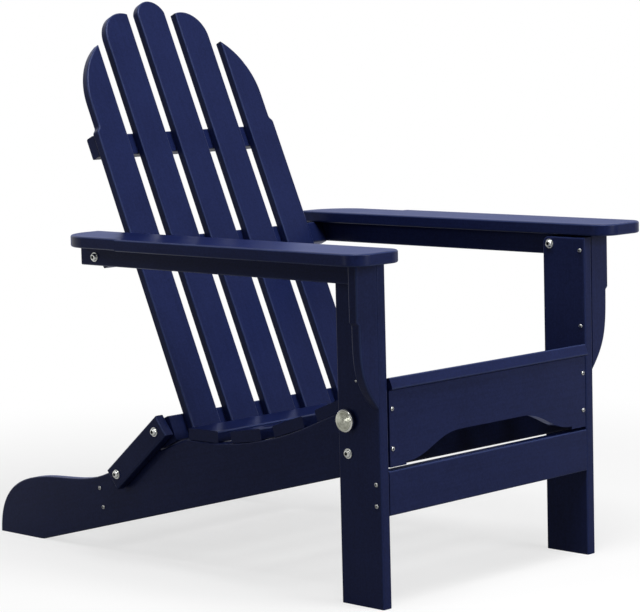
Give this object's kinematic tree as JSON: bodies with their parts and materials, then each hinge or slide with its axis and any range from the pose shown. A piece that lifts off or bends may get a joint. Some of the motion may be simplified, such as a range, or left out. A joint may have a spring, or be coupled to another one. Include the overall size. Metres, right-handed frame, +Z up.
{
  "type": "adirondack chair",
  "caption": "Folding garden armchair of plastic boards: low scooped slat seat, raked fan back, wide flat arms, side links and round locking knobs.",
  "frame": {"origin": "middle of the chair's bounding box, on the floor", "axes": "+X to the viewer's right when facing the chair, +Y toward the chair's rear, +Z up"},
  "size_m": [0.695, 0.993, 0.9297],
  "materials": {
    "board": "navy poly lumber with a fine brushed texture and a slight sheen",
    "bolt": "bright stainless steel",
    "knob": "polished turned steel"
  },
  "bodies": {
    "seat_frame": {"side_board_left": "board", "side_board_right": "board", "seat_slat_1": "board", "seat_slat_2": "board", "seat_slat_3": "board", "seat_slat_4": "board", "seat_slat_5": "board", "apron": "board", "rear_stretcher": "board", "leg_bolts": "bolt", "link_lower_bolts": "bolt"},
    "front_legs": {"leg_left": "board", "leg_right": "board", "front_stretcher": "board", "bracket_left": "board", "bracket_right": "board", "arm_front_bolts": "bolt"},
    "rear_links": {"link_left": "board", "link_right": "board"},
    "chair_back": {"back_slat_1": "board", "back_slat_2": "board", "back_slat_3": "board", "back_slat_4": "board", "back_slat_5": "board", "upper_rail": "board", "arm_brace": "board", "lower_rail": "board", "link_upper_bolts": "bolt", "arm_rear_bolts": "bolt"},
    "arms": {"arm_left": "board", "arm_right": "board", "arm_rail_left": "board", "arm_rail_right": "board"},
    "left_knob": {"knob_left": "knob"},
    "right_knob": {"knob_right": "knob"}
  },
  "joints": [
    {"name": "legs_fold", "type": "hinge", "parent": "seat_frame", "child": "front_legs", "pos_m": [0, -0.3855, 0.23305], "axis": [1, 0, 0], "range_deg": [0, 75.01]},
    {"name": "links_flip", "type": "hinge", "parent": "seat_frame", "child": "rear_links", "pos_m": [0, 0.1535, 0.14205], "axis": [1, 0, 0], "range_deg": [-68.55, 0]},
    {"name": "back_fold", "type": "hinge", "parent": "rear_links", "child": "chair_back", "pos_m": [0, 0.05529, 0.22318], "axis": [1, 0, 0], "range_deg": [0, 169.56]},
    {"name": "arms_fold", "type": "hinge", "parent": "chair_back", "child": "arms", "pos_m": [0, 0.16724, 0.5078], "axis": [1, 0, 0], "range_deg": [-99.69, 0]},
    {"name": "left_knob_out", "type": "slide", "parent": "front_legs", "child": "left_knob", "axis": [-1, 0, 0], "range_m": [0, 0.012]},
    {"name": "right_knob_out", "type": "slide", "parent": "front_legs", "child": "right_knob", "axis": [1, 0, 0], "range_m": [0, 0.012]}
  ],
  "couplings": [
    {"joint": "legs_fold", "follows": "links_flip", "ratio": -1.0941},
    {"joint": "back_fold", "follows": "links_flip", "ratio": -2.4733},
    {"joint": "arms_fold", "follows": "links_flip", "ratio": 1.4541}
  ]
}
